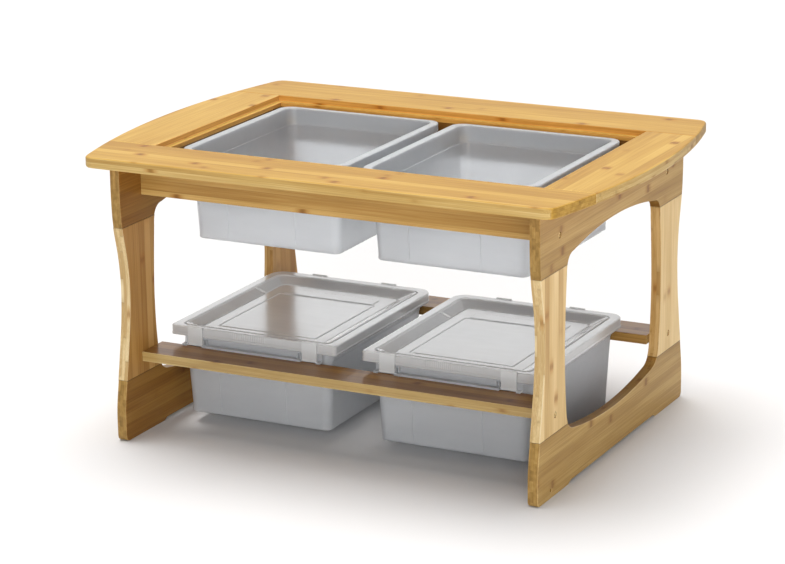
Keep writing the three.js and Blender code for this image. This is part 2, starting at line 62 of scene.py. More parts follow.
class Graph:
    """The nodes of a material or a world. An input may be given a number, a colour or a socket."""

    def __init__(self, owner):
        owner.use_nodes = True
        self.tree = owner.node_tree

    def put(self, socket, value):
        if isinstance(value, bpy.types.NodeSocket):
            self.tree.links.new(value, socket)
        else:
            socket.default_value = value

    def node(self, kind, inputs, **settings):
        node = self.tree.nodes.new(kind)
        for key, value in settings.items():
            setattr(node, key, value)
        for key, value in inputs.items():
            self.put(node.inputs[key], value)
        return node

    def coordinates(self, kind):
        return self.node("ShaderNodeTexCoord", {}).outputs[kind]

    def surface(self, kind):
        return self.node("ShaderNodeNewGeometry", {}).outputs[kind]

    def vector(self, x, y, z):
        return self.node("ShaderNodeCombineXYZ", {0: x, 1: y, 2: z}).outputs[0]

    def xyz(self, vector):
        return self.node("ShaderNodeSeparateXYZ", {0: vector}).outputs

    def vectors(self, operation, first, second, output=0):
        return self.node("ShaderNodeVectorMath", {0: first, 1: second}, operation=operation).outputs[output]

    def math(self, operation, *values):
        return self.node("ShaderNodeMath", dict(enumerate(values)), operation=operation).outputs[0]

    def add(self, total, *values):
        for value in values:
            total = self.math("ADD", total, value)
        return total

    def multiply(self, total, *values):
        for value in values:
            total = self.math("MULTIPLY", total, value)
        return total

    def ranged(self, value, low, high, start, end):
        inputs = {0: value, 1: low, 2: high, 3: start, 4: end}
        return self.node("ShaderNodeMapRange", inputs, interpolation_type="SMOOTHSTEP").outputs[0]

    def step(self, value, low, high):
        """0 below low, 1 above high, and smooth between."""
        return self.ranged(value, low, high, 0.0, 1.0)

    def fade(self, value, low, high):
        """1 below low, 0 above high, and smooth between."""
        return self.ranged(value, low, high, 1.0, 0.0)

    def off_middle(self, value):
        """How far a value is from the middle of its whole step: 0 there, and 0.5 at both ends."""
        return self.math("ABSOLUTE", self.math("SUBTRACT", self.math("FRACT", value), 0.5))

    def noise(self, vector, scale, detail):
        inputs = {"Vector": vector, "Scale": scale, "Detail": detail}
        return self.node("ShaderNodeTexNoise", inputs).outputs["Fac"]

    def white(self, vector):
        """One random value, and three more as a colour, for each place."""
        node = self.node("ShaderNodeTexWhiteNoise", {"Vector": vector})
        return node.outputs["Value"], node.outputs["Color"]

    def ramp(self, value, *stops):
        node = self.node("ShaderNodeValToRGB", {0: value})
        elements = node.color_ramp.elements
        while len(elements) < len(stops):
            elements.new(0.5)
        for element, (place, colour) in zip(elements, stops):
            element.position = place
            element.color = (*colour, 1)
        return node.outputs[0]

    def mix(self, factor, first, second, blend="MIX"):
        """The first colour with the second, a socket or three numbers, over it as far as factor says."""
        node = self.node("ShaderNodeMix", {}, data_type="RGBA", blend_type=blend)
        self.put(node.inputs[0], factor)
        self.put(node.inputs[6], first)
        self.put(node.inputs[7], second if isinstance(second, bpy.types.NodeSocket) else (*second, 1))
        return node.outputs[2]

    def tinted(self, colour, factors, amount):
        """The colour times three factors, as far as amount says."""
        return self.mix(amount, colour, factors, "MULTIPLY")


class Finish(Graph):
    """A new material and the nodes that feed its shader."""

    def __init__(self, name):
        self.material = bpy.data.materials.new(name)
        super().__init__(self.material)
        self.shader = self.tree.nodes["Principled BSDF"]

    def bump(self, height, distance, strength):
        inputs = {"Height": height, "Distance": distance, "Strength": strength}
        self.put(self.shader.inputs["Normal"], self.node("ShaderNodeBump", inputs).outputs[0])

    def shade(self, **values):
        for key, value in values.items():
            self.put(self.shader.inputs[key.replace("_", " ")], value)


# ---- camera, floor and lights -----------------------------------------------------------------
AIM = Vector((0, 0, 0.25))  # what the lights point at
FLOOR_REACH = 15
FLOOR_COLOUR = (0.69, 0.69, 0.70, 1)
SURROUND_STRENGTH = 0.12
SWEEP_STRENGTH = 1.25


def add_camera():
    """A long lens from the front right, a little above the table."""
    azimuth, elevation, roll = math.radians(26.73), math.radians(16.11), math.radians(-0.66)
    target = Vector((0.0109, -0.0026, 0.2642))
    distance = 5.2095
    back = Vector((math.sin(azimuth) * math.cos(elevation),
                   -math.cos(azimuth) * math.cos(elevation),
                   math.sin(elevation)))
    right = Vector((math.cos(azimuth), math.sin(azimuth), 0))
    up = back.cross(right)
    right, up = (right * math.cos(roll) + up * math.sin(roll),
                 up * math.cos(roll) - right * math.sin(roll))
    data = bpy.data.cameras.new("camera")
    data.lens = 128.79
    data.shift_x, data.shift_y = -0.02015, 0.00245
    data.clip_end = 100
    camera = bpy.data.objects.new("camera", data)
    turn = Matrix((right, up, back)).transposed().to_4x4()
    camera.matrix_world = Matrix.Translation(target + back * distance) @ turn
    scene.collection.objects.link(camera)
    scene.camera = camera


def add_floor():
    """A matt sheet of pale paper, far wider than the view."""
    corners = [(x * FLOOR_REACH, y * FLOOR_REACH, 0) for x, y in ((-1, -1), (1, -1), (1, 1), (-1, 1))]
    mesh = bpy.data.meshes.new("floor")
    mesh.from_pydata(corners, [], [(0, 1, 2, 3)])
    floor = bpy.data.objects.new("floor", mesh)
    paper = Finish("floor_paper")
    paper.shade(Base_Color=FLOOR_COLOUR, Roughness=0.75, Specular_IOR_Level=0.1)
    mesh.materials.append(paper.material)
    scene.collection.objects.link(floor)


def add_light(name, kind, place, power, colour=(1, 1, 1), shines=False, **settings):
    """A light at a place, pointed at AIM. Glossy surfaces mirror it only if it shines."""
    data = bpy.data.lights.new(name, kind)
    data.energy = power
    data.color = colour
    for key, value in settings.items():
        setattr(data, key, value)
    light = bpy.data.objects.new(name, data)
    light.location = place
    light.rotation_mode = "QUATERNION"
    light.rotation_quaternion = (AIM - light.location).to_track_quat("-Z", "Y")
    light.visible_camera = False
    light.visible_glossy = shines
    scene.collection.objects.link(light)


def add_lights():
    """A broad soft light from above, a fill from the front and a weak one low at the front right."""
    warm = (1, 0.985, 0.96)
    add_light("overhead", "SUN", (-0.55, 0.25, 3.4), 3.85, warm, shines=True, angle=math.radians(42))
    add_light("front_fill", "SUN", (0.9, -2.4, 0.85), 2.0, angle=math.radians(30))
    add_light("low_fill", "AREA", (1.8, -1.2, 0.18), 8, size=0.8)
    scene.view_settings.view_transform = "Standard"


def add_world():
    """A dim even surround with a white sweep low down behind the table, which glossy tops reflect."""
    world = bpy.data.worlds.new("studio")
    g = Graph(world)
    direction = g.xyz(g.coordinates("Generated"))
    behind = g.step(direction[Y], 0.1, 0.6)
    low = g.fade(direction[Z], 0.34, 0.55)
    sweep = g.multiply(behind, low)
    background = g.tree.nodes["Background"]
    g.put(background.inputs["Strength"],
          g.math("MULTIPLY_ADD", sweep, SWEEP_STRENGTH, SURROUND_STRENGTH))
    g.put(background.inputs["Color"], (1, 1, 1, 1))
    scene.world = world


# ---- bamboo -----------------------------------------------------------------------------------
LAYER = 0.0065  # thickness of a layer of strips
STRIP = 0.0195  # width of a strip
CULM = 0.26  # distance along a strip between its culm nodes
MIDDLE = (0, 0, 0.3)  # inside the table, on the side that inner faces look towards; the painted shade on those faces turns on it
EDGE_WEAR_AND_HIGHLIGHT = (1.35, 1.5, 2.1)  # eased edges, times the colour of the faces beside them: paler with wear, and a painted highlight


def grain_noises(g, along, across, deep, tint):
    """Fine fibres, longer streaks and slow drifts, all stretched along the grain."""
    far = g.add(along, g.multiply(tint, 3.1))
    noises = []
    for length_scale, width_scale, detail in ((9, 1100, 3.0), (5, 260, 3.0), (4, 34, 2.0)):
        place = g.vector(g.multiply(far, length_scale), g.multiply(across, width_scale),
                         g.multiply(deep, width_scale))
        noises.append(g.noise(place, 1.0, detail))
    return noises


def culm_nodes(g, along, streak, shift, strip, layer_number):
    """How strongly a dark bar across a strip, and the wider halo round it, show.

    Each length CULM of a strip has one of each or, by chance, a weak one or none."""
    wobble = g.multiply(g.math("SUBTRACT", streak, 0.5), 0.009)
    turn = g.math("DIVIDE", g.add(along, wobble, g.multiply(shift, CULM)), CULM)
    near = g.multiply(g.off_middle(turn), CULM)
    chance, _ = g.white(g.vector(g.math("FLOOR", strip), g.math("FLOOR", turn), g.add(layer_number, 0.5)))
    shown = g.step(chance, 0.45, 0.9)
    inside = g.fade(g.off_middle(strip), 0.26, 0.5)
    return [g.multiply(g.fade(near, *reach), shown, inside) for reach in ((0.0005, 0.009), (0.003, 0.02))]


def end_grain(g, tones, across, deep, seed, tint, layer_line):
    """Browner blocks with dotted fibre bundles, for the faces that look along the grain."""
    dark, mid, light = tones
    dots = g.noise(g.vector(g.multiply(across, 1500), g.multiply(deep, 1500), seed), 1.0, 1.0)
    blotch = g.noise(g.vector(g.multiply(across, 90), g.multiply(deep, 160), seed), 1.0, 1.0)
    tone = g.add(g.multiply(tint, 0.25), g.multiply(dots, 0.3), g.multiply(blotch, 0.55))
    colour = g.ramp(tone, (0.2, scaled(dark, 0.55)), (0.6, scaled(mid, 0.85)), (1.0, light))
    return g.mix(g.multiply(layer_line, 0.5), colour, scaled(dark, 0.45))


def bamboo(name, grain, wide, tones, seed, variety=0.35, knots=0.85, side=(1, 1, 1), inner=(1, 1, 1),
           shine=0.2, coat=0.03, seams=()):
    """Laminated bamboo: strips along the grain axis, laid side by side along the wide axis and in layers.

    tones are the dark, middle and light colours of the strips, variety is how much one strip differs from
    the next, and knots how strongly the culm nodes show. The colour is times side on faces that show the
    strips' sides, which stands for their side grain and a painted sheen, and times inner, a painted shade,
    on faces that look towards the middle of the table. seams are the heights at which the board meets the
    next one, along a thin dark line."""
    g = Finish(name)
    dark, mid, light = tones
    place = g.coordinates("Object")
    xyz = g.xyz(place)
    along, across, deep = xyz[grain], xyz[wide], xyz[X + Y + Z - grain - wide]

    layer = g.add(g.math("DIVIDE", deep, LAYER), 0.21 + seed)
    layer_number = g.math("FLOOR", layer)
    strip = g.add(g.math("DIVIDE", across, STRIP), g.multiply(layer_number, 0.37))
    tint, more = g.white(g.vector(g.math("FLOOR", strip), layer_number, seed))
    shift = g.node("ShaderNodeSeparateColor", {0: more}).outputs[0]
    fibre, streak, drift = grain_noises(g, along, across, deep, tint)
    bar, halo = culm_nodes(g, along, streak, shift, strip, layer_number)
    layer_line = g.step(g.off_middle(layer), 0.42, 0.5)
    glue_line = g.math("MAXIMUM", g.step(g.off_middle(strip), 0.462, 0.5), layer_line)

    tone = g.add(g.multiply(tint, variety), g.multiply(streak, 0.6), g.multiply(drift, 0.65),
                 g.multiply(fibre, 0.65))
    tone = g.math("SUBTRACT", tone, 0.45 + variety / 2)
    colour = g.ramp(tone, (0.2, dark), (0.5, mid), (0.8, light))
    colour = g.mix(g.multiply(halo, knots), colour, scaled(dark, (1.0, 0.78, 0.5)))
    colour = g.mix(g.multiply(bar, knots), colour, scaled(dark, (0.6, 0.5, 0.42)))
    colour = g.mix(g.multiply(glue_line, 0.3), colour, scaled(dark, 0.5))
    for seam in seams:
        away = g.math("ABSOLUTE", g.math("SUBTRACT", xyz[Z], seam))
        colour = g.mix(g.multiply(g.fade(away, 0.0004, 0.0012), 0.75), colour, scaled(dark, 0.3))

    facing = g.surface("Normal")
    normal = g.xyz(facing)
    # painted sheen, besides the side grain: faces that show the strips' sides are made paler by side
    shows_side = g.step(g.math("ABSOLUTE", normal[wide]), 0.6, 0.8)
    colour = g.tinted(colour, side, shows_side)
    shows_end = g.step(g.math("ABSOLUTE", normal[grain]), 0.72, 0.86)
    colour = g.mix(shows_end, colour, end_grain(g, tones, across, deep, seed, tint, layer_line))
    # painted shade: faces that look towards the middle of the table take the inner tint
    inward = g.vectors("SUBTRACT", MIDDLE, place)
    painted_shade_inward = g.step(g.vectors("DOT_PRODUCT", facing, inward, "Value"), 0.0, 0.02)
    colour = g.tinted(colour, inner, painted_shade_inward)
    # eased edges made paler: wear, and a painted highlight along them
    wear_and_highlight = g.node("ShaderNodeAttribute", {}, attribute_name="wear_and_highlight").outputs["Fac"]
    colour = g.tinted(colour, EDGE_WEAR_AND_HIGHLIGHT, g.multiply(wear_and_highlight, g.add(streak, 0.3)))

    height = g.math("SUBTRACT", g.multiply(fibre, 0.35), g.multiply(glue_line, 0.5))
    g.bump(g.add(height, g.multiply(streak, 0.5)), 0.00018, 0.6)
    g.shade(Base_Color=colour, Roughness=g.add(g.multiply(fibre, 0.12), 0.39), Specular_IOR_Level=shine,
            Coat_Weight=coat, Coat_Roughness=0.16)
    return g.material


# ---- plastic and metal ------------------------------------------------------------------------
MOTTLE = 0.03  # how much lighter and darker than its colour the plastic is in patches
# painted highlight on outward bends and painted shade in creases, times the plastic's colour
PAINTED_RIDGE_HIGHLIGHT = (1.15, 1.15, 1.15)
PAINTED_CREASE_SHADE = (0.7, 0.7, 0.7)


def plastic(name, colour, roughness, transmission, coat=0.0):
    """Milky polypropylene with a fine moulded grain, flow marks, a painted highlight on outer edges and
    painted shade in inner ones.
    """
    g = Finish(name)
    place = g.coordinates("Object")
    cloud = g.noise(place, 9.0, 2.0)
    dust = g.noise(place, 1100.0, 2.0)
    flow = g.noise(g.vectors("MULTIPLY", place, (14, 60, 60)), 1.0, 2.0)
    tone = g.add(g.multiply(cloud, 0.6), g.multiply(flow, 0.4))
    shade = g.ramp(tone, (0.35, scaled(colour, 1 - MOTTLE)), (0.65, scaled(colour, 1 + MOTTLE)))
    bend = g.surface("Pointiness")
    # painted highlight where the surface bends outward, painted shade where it bends inward
    shade = g.tinted(shade, PAINTED_RIDGE_HIGHLIGHT, g.step(bend, 0.51, 0.57))
    shade = g.tinted(shade, PAINTED_CREASE_SHADE, g.fade(bend, 0.34, 0.44))
    g.bump(dust, 0.00001, 0.25)
    g.shade(Base_Color=shade, Roughness=g.add(g.multiply(cloud, 0.08), roughness - 0.04), IOR=1.5,
            Transmission_Weight=transmission, Coat_Weight=coat, Coat_Roughness=0.2)
    return g.material


def metal(name, colour, roughness, tarnish):
    """Plated metal with fine scratches and tarnish in patches, dulled so that it also scatters light."""
    g = Finish(name)
    place = g.coordinates("Object")
    patch = g.noise(place, 260.0, 3.0)
    scratch = g.noise(place, 2600.0, 2.0)
    g.bump(scratch, 0.00003, 0.5)
    g.shade(Base_Color=g.ramp(patch, (0.35, scaled(colour, tarnish)), (0.62, colour)), Metallic=0.6,
            Roughness=g.add(g.multiply(scratch, 0.2), roughness - 0.1))
    return g.material


# ---- mesh helpers -----------------------------------------------------------------------------
SMOOTH_ANGLE = math.radians(32)  # edges sharper than this stay sharp to the eye
EASED_ANGLE = math.radians(40)  # edges sharper than this are eased


def piece(name, body, bm, material, node):
    """Stands a bmesh in for a CAD node: smooth except across its sharp edges, riding on a body."""
    bmesh.ops.recalc_face_normals(bm, faces=bm.faces)
    for face in bm.faces:
        face.smooth = True
    for edge in bm.edges:
        edge.smooth = not (len(edge.link_faces) == 2 and edge.calc_face_angle(0) > SMOOTH_ANGLE)
    mesh = bpy.data.meshes.new(name)
    bm.to_mesh(mesh)
    bm.free()
    mesh.materials.append(material)
    made = bpy.data.objects.new(name, mesh)
    scene.collection.objects.link(made)
    weighted = made.modifiers.new("weighted_normals", "WEIGHTED_NORMAL")
    weighted.keep_sharp = True
    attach(made, body)
    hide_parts(node)


def cad_solid(node):
    """A CAD node's mesh with its doubled corners joined and its flat faces made whole."""
    bm = bmesh.new()
    bm.from_mesh(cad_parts[node].data)
    bmesh.ops.remove_doubles(bm, verts=bm.verts, dist=2e-5)
    bmesh.ops.dissolve_limit(bm, angle_limit=math.radians(0.4), verts=bm.verts, edges=bm.edges)
    return bm


def ease_edges(bm, width, segments, chosen=lambda edge: True):
    """Rounds the sharp edges that chosen() picks, and marks the new faces for paler wear and a painted
    highlight.

    clamp_overlap makes the rounding narrower than width on a piece with edges too short for it."""
    wear_and_highlight = bm.faces.layers.float.new("wear_and_highlight")
    sharp = [edge for edge in bm.edges
             if len(edge.link_faces) == 2 and edge.calc_face_angle(0) > EASED_ANGLE and chosen(edge)]
    eased = bmesh.ops.bevel(bm, geom=sharp, offset=width, segments=segments, profile=0.5, affect="EDGES",
                            clamp_overlap=True, loop_slide=True)
    for face in eased["faces"]:
        face[wear_and_highlight] = 1.0


def refine(node, material, width, segments=2, chosen=lambda edge: True):
    """Stands a copy with eased edges in for a CAD node of the frame."""
    bm = cad_solid(node)
    ease_edges(bm, width, segments, chosen)
    piece(f"{node}_finished", "frame", bm, material, node)


def block(xs, ys, zs, ease):
    """A box between pairs of millimetre values, with its edges eased."""
    bm = bmesh.new()
    bmesh.ops.create_cube(bm, size=1)
    for vert in bm.verts:
        vert.co = Vector([min(pair) if c < 0 else max(pair) for c, pair in zip(vert.co, (xs, ys, zs))]) * MM
    ease_edges(bm, ease * MM, 2)
    return bm


def prism(points, axis, low, high):
    """A closed outline, in the two axes after the given one, pushed from low to high along it."""
    bm = bmesh.new()

    def place(point, height):
        spot = [0.0, 0.0, 0.0]
        spot[(axis + 1) % 3], spot[(axis + 2) % 3], spot[axis] = point[0], point[1], height
        return Vector(spot) * MM

    lower = [bm.verts.new(place(point, low)) for point in points]
    upper = [bm.verts.new(place(point, high)) for point in points]
    bm.faces.new(lower)
    bm.faces.new(upper)
    bridge(bm, [lower, upper])
    bmesh.ops.recalc_face_normals(bm, faces=bm.faces)
    return bm


def bridge(bm, loops):
    """Joins each closed loop of points to the next with a band of faces."""
    for lower, upper in zip(loops, loops[1:]):
        for k in range(len(lower)):
            n = (k + 1) % len(lower)
            bm.faces.new((lower[k], lower[n], upper[n], upper[k]))


def circle(radius, centre, sides, start=0.0, turn=2 * math.pi):
    """Points on a circle or, when turn is less than a whole one, on an arc with both its ends."""
    closed = turn >= 2 * math.pi
    count = sides if closed else sides + 1
    return [(centre[0] + radius * math.cos(start + turn * k / sides),
             centre[1] + radius * math.sin(start + turn * k / sides)) for k in range(count)]


def joined(parts):
    """Several solids that don't touch, as one mesh."""
    whole = bmesh.new()
    for part in parts:
        mesh = bpy.data.meshes.new("part")
        part.to_mesh(mesh)
        part.free()
        whole.from_mesh(mesh)
        bpy.data.meshes.remove(mesh)
    return whole


def combine(base, *steps):
    """The base with each (operation, solid) applied to it in turn."""
    held = []
    for bm in (base, *[solid for _, solid in steps]):
        bmesh.ops.recalc_face_normals(bm, faces=bm.faces)
        mesh = bpy.data.meshes.new("operand")
        bm.to_mesh(mesh)
        bm.free()
        held.append(bpy.data.objects.new("operand", mesh))
        scene.collection.objects.link(held[-1])
    for (operation, _), other in zip(steps, held[1:]):
        modifier = held[0].modifiers.new("cut", "BOOLEAN")
        modifier.operation = operation
        modifier.solver = "EXACT"
        modifier.object = other
    bpy.context.view_layer.update()
    result = bmesh.new()
    result.from_mesh(held[0].evaluated_get(bpy.context.evaluated_depsgraph_get()).data)
    for operand in held:
        mesh = operand.data
        bpy.data.objects.remove(operand)
        bpy.data.meshes.remove(mesh)
    bmesh.ops.remove_doubles(result, verts=result.verts, dist=5e-6)
    return result


# ---- lofted shells ----------------------------------------------------------------------------
# A ring is a level rounded rectangle, in millimetres. Its numbers are, in this order:
HALF, FRONT, REAR, CORNER, FRONT_CORNER, HEIGHT, RIBS, NOTCH = range(8)
CORNER_STEPS = 9
TURN_STEPS = 4


def ring(x, y, radius, z, front=None, front_radius=None, ribs=0.0, notch=0.0):
    """A ring that reaches to x at both sides and y at the rear, and to -y at the front or to front if given.

    ribs and notch say how strongly those features show at it, from 0 to 1."""
    return np.array([x, -y if front is None else front, y, radius,
                     radius if front_radius is None else front_radius, z, ribs, notch], float)


def soften(corners):
    """Rounds the turns of a path of (ring, reach), each over its reach before and after the ring."""
    path = []
    for number, (here, reach) in enumerate(corners):
        if not reach:
            path.append(here)
            continue
        ends = []
        for other, _ in (corners[number - 1], corners[number + 1]):
            way = other - here
            length = max(abs(way[[HALF, FRONT, REAR]]).max(), abs(way[HEIGHT]))
            ends.append(here + way * min(0.5, reach / length))
        for k in range(TURN_STEPS + 1):
            t = k / TURN_STEPS
            path.append(ends[0] * (1 - t) ** 2 + here * 2 * t * (1 - t) + ends[1] * t ** 2)
    return path


def outline(shape, across, along):
    """Points round a ring from its right side by the rear, with stations at x = across and y = along."""
    x, front, rear = shape[HALF], shape[FRONT], shape[REAR]
    points = []
    for sign_x, sign_y, quarter in ((1, 1, 0), (-1, 1, 1), (-1, -1, 2), (1, -1, 3)):
        bend = shape[CORNER] if sign_y > 0 else shape[FRONT_CORNER]
        centre = (sign_x * (x - bend), rear - bend if sign_y > 0 else front + bend)
        points += circle(bend, centre, CORNER_STEPS, quarter * math.pi / 2, math.pi / 2)
        if quarter in (0, 2):
            places = sorted(across, reverse=quarter == 0)
            points += [(place, rear if quarter == 0 else front) for place in places]
        else:
            low, high = front + shape[FRONT_CORNER], rear - shape[CORNER]
            places = [min(max(place, low + 0.1 * k), high - 0.1 * (len(along) - k))
                      for k, place in enumerate(sorted(along), 1)]
            if quarter == 1:
                places.reverse()
            points += [(sign_x * x, place) for place in places]
    return points


def loft(rings, across=(), along=(), push=None):
    """A closed skin through rings, flat across the first and last; push() moves a point by its ring."""
    bm = bmesh.new()
    loops = []
    for shape in rings:
        points = [Vector((px, py, shape[HEIGHT])) for px, py in outline(shape, across, along)]
        if push:
            points = [point + push(point, shape) for point in points]
        loops.append([bm.verts.new(point * MM) for point in points])
    bridge(bm, loops)
    bm.faces.new(loops[0])
    bm.faces.new(loops[-1])
    return bm


def is_at(value, places):
    return any(abs(value - place) < 0.01 for place in places)


# ---- the wooden frame -------------------------------------------------------------------------
TOP_TONES = ((0.37, 0.19, 0.030), (0.48, 0.275, 0.050), (0.575, 0.36, 0.085))
RAIL_TONES = ((0.275, 0.148, 0.036), (0.37, 0.22, 0.062), (0.475, 0.31, 0.104))
POST_TONES = ((0.47, 0.28, 0.095), (0.62, 0.42, 0.175), (0.74, 0.54, 0.265))
INNER_PAINTED_SHADE = (0.70, 0.55, 0.36)
# side tints faces that show the strips' sides, for their side grain and a painted sheen; inner is a painted
# shade on faces that look into the table, and on the top a painted warm bounce light on the opening's walls
TOP_SIDES = {"side": (1.0, 1.15, 2.1), "inner": (1.42, 1.08, 0.72)}
BOARD_SIDES = {"side": (1.04, 1.18, 1.5), "inner": INNER_PAINTED_SHADE}
POST_SIDES = {"side": (0.95, 1.06, 1.32), "inner": INNER_PAINTED_SHADE}
BOARD_EASE = 0.0015
FRAME_EASE = 0.0022


def joint_height(lower, upper):
    """The height at which one node ends and the next one begins."""
    return (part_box(lower)[1].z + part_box(upper)[0].z) / 2


SEAMS = (joint_height("bottom_rail_left", "front_post_left"),
         joint_height("front_post_left", "top_rail_left"))


def off_seams(edge):
    height = (edge.verts[0].co.z + edge.verts[1].co.z) / 2
    return all(abs(height - seam) > 0.001 for seam in SEAMS)


def build_wood():
    top_long = bamboo("bamboo_top_long", X, Y, TOP_TONES, 1.0, **TOP_SIDES, shine=0.12)
    top_cross = bamboo("bamboo_top_cross", Y, X, TOP_TONES, 2.0, **TOP_SIDES, shine=0.12)
    apron = bamboo("bamboo_apron", X, Z, RAIL_TONES, 3.0, knots=0.8, **BOARD_SIDES)
    board = bamboo("bamboo_lower_board", X, Y, RAIL_TONES, 4.0, knots=0.6, **BOARD_SIDES, coat=0.4)
    post = bamboo("bamboo_post", Z, Y, POST_TONES, 5.0, variety=0.6, knots=0.6, seams=SEAMS, **POST_SIDES)
    rail = bamboo("bamboo_rail", Y, Z, RAIL_TONES, 6.0, variety=0.3, knots=0.6, seams=SEAMS, **POST_SIDES)
    for end in ENDS:
        refine(f"top_board_{end}", top_long, BOARD_EASE)
        refine(f"apron_{end}", apron, BOARD_EASE)
        refine(f"lower_board_{end}", board, BOARD_EASE)
        refine(f"bin_cleat_{end}", apron, BOARD_EASE)
    for side in SIDES:
        refine(f"top_board_{side}", top_cross, BOARD_EASE)
        for part, material in (("top_rail", rail), ("bottom_rail", rail), ("front_post", post),
                               ("rear_post", post)):
            refine(f"{part}_{side}", material, FRAME_EASE, 3, off_seams)


# ---- fasteners --------------------------------------------------------------------------------
# millimetres: radii of the head, its crown and the shank, and half the width across the socket's flats
BOLT_HEAD, BOLT_CROWN, BOLT_SHANK, BOLT_SOCKET = 5.3, 3.9, 3.0, 2.1
BOLT_SIDES = 36
NUT_EASE = 0.0004


def socket_radius(angle):
    """The distance from a hexagon's middle to its edge."""
    wedge = (angle + math.pi / 6) % (math.pi / 3) - math.pi / 6
    return BOLT_SOCKET / math.cos(wedge)


def bolt(node, material):
    """A cap bolt with a domed, flanged head and a hexagonal socket, lying along x."""
    low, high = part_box(node)
    axis = (low + high) / 2
    tip, top = sorted((low.x / MM, high.x / MM), key=abs)
    length = abs(top - tip)
    # radius, and distance below the top of the head, which is at the outer end
    stations = [(BOLT_SHANK - 0.6, length), (BOLT_SHANK, length - 1), (BOLT_SHANK, 3.4),
                (BOLT_HEAD, 3.3), (BOLT_HEAD, 2.2), (BOLT_HEAD - 0.4, 1.7),
                (BOLT_CROWN + 0.5, 0.6), (BOLT_CROWN, 0.15), (BOLT_CROWN - 0.4, 0.0),
                (socket_radius, 0.0), (socket_radius, 2.4)]
    bm = bmesh.new()
    loops = []
    for radius, depth in stations:
        x = top - math.copysign(depth, top)
        loop = []
        for k in range(BOLT_SIDES):
            angle = 2 * math.pi * k / BOLT_SIDES
            reach = radius(angle) if callable(radius) else radius
            y, z = axis.y + reach * MM * math.cos(angle), axis.z + reach * MM * math.sin(angle)
            loop.append(bm.verts.new(Vector((x * MM, y, z))))
        loops.append(loop)
    bridge(bm, loops)
    bm.faces.new(loops[0])
    bm.faces.new(loops[-1])
    piece(f"{node}_finished", "frame", bm, material, node)


def build_fasteners():
    brass = metal("brass_plate", (0.80, 0.58, 0.26), 0.3, 0.6)
    zinc = metal("zinc_plate", (0.62, 0.63, 0.64), 0.38, 0.7)
    for end, side in product(ENDS, SIDES):
        for joint in ("apron", "board"):
            bolt(f"{joint}_bolt_{end}_{side}", brass)
            refine(f"{joint}_barrel_nut_{end}_{side}", zinc, NUT_EASE)
    for end, number in product(ENDS, (1, 2, 3)):
        refine(f"cleat_screw_{end}_{number}", zinc, NUT_EASE)


# ---- bins -------------------------------------------------------------------------------------
# millimetres above a bin's floor and from its middle
BIN_HEIGHT = 170
FLOOR_HALF = (147.5, 184)
DRAFT = math.tan(math.radians(3))
WALL = 2.5
RIM_HALF = (171, 200)
RIM_CORNER = 26
SKIRT_BOTTOM = 155
SEAT = 137.5  # underside of the lip that a bin hangs by
LIP_THICKNESS = 4
LIP_REACH = 11
WALL_STEP = 0.8  # the wall is this much wider above the seat
RIB_X = (-80, 60)  # upright ribs on the front and rear walls
RIB_PROUD = 1.2
GUSSET_AWAY = (18, 24)  # from a clip's middle inward to the two upright gussets beside its slot
CLIP_OFFSET = {"front": 120, "rear": 76}
CLIP_SLOT_HALF = 16.5


def bin_shell():
    """The bin's wall, floor and turned-down rim, from the floor's underside round to its upper side."""
    def wall(z, radius, inset=0.0, ribs=0.0):
        x, y = (half + z * DRAFT - inset for half in FLOOR_HALF)
        return ring(x, y, radius, z, ribs=ribs)

    def rim(inset, z):
        return ring(RIM_HALF[0] - inset, RIM_HALF[1] - inset, RIM_CORNER - inset, z)

    under = BIN_HEIGHT - WALL
    path = [
        (wall(1.2, 4, 26), 0),
        (wall(1.2, 6, 22), 0.6),
        (wall(0, 6, 20), 0.6),
        (wall(0, 12), 8),
        (wall(9, 17), 0),
        (wall(11, 17, ribs=1), 0),
        (wall(SEAT - 4, 19, ribs=1), 0),
        (wall(SEAT - 2, 19), 0.5),
        (wall(SEAT - 1, 19, -WALL_STEP), 0.5),
        (wall(under, 20, -WALL_STEP), 2),
        (rim(WALL, under), 2),
        (rim(WALL, SKIRT_BOTTOM), 0.8),
        (rim(0, SKIRT_BOTTOM), 0.8),
        (rim(0, BIN_HEIGHT), 2.4),
        (wall(BIN_HEIGHT, 19, 1.2), 2.4),
        (wall(BIN_HEIGHT - 6, 18, WALL - WALL_STEP), 0),
        (wall(SEAT, 18, WALL - WALL_STEP), 0.5),
        (wall(SEAT - 1, 18, WALL), 0.5),
        (wall(WALL, 14, WALL), 8),
        (wall(WALL, 8, 22), 0.6),
        (wall(WALL + 0.8, 8, 24), 0.6),
        (wall(WALL + 0.8, 6, 30), 0),
    ]
    stations = [x + off for x in RIB_X for off in (-1.5, -0.5, 0.5, 1.5)]
    crests = [x + off for x in RIB_X for off in (-0.5, 0.5)]

    def push(point, shape):
        on_rib = shape[RIBS] and is_at(point.x, crests)
        return Vector((0, math.copysign(RIB_PROUD, point.y) if on_rib else 0, 0))

    return loft(soften(path), across=stations, push=push)


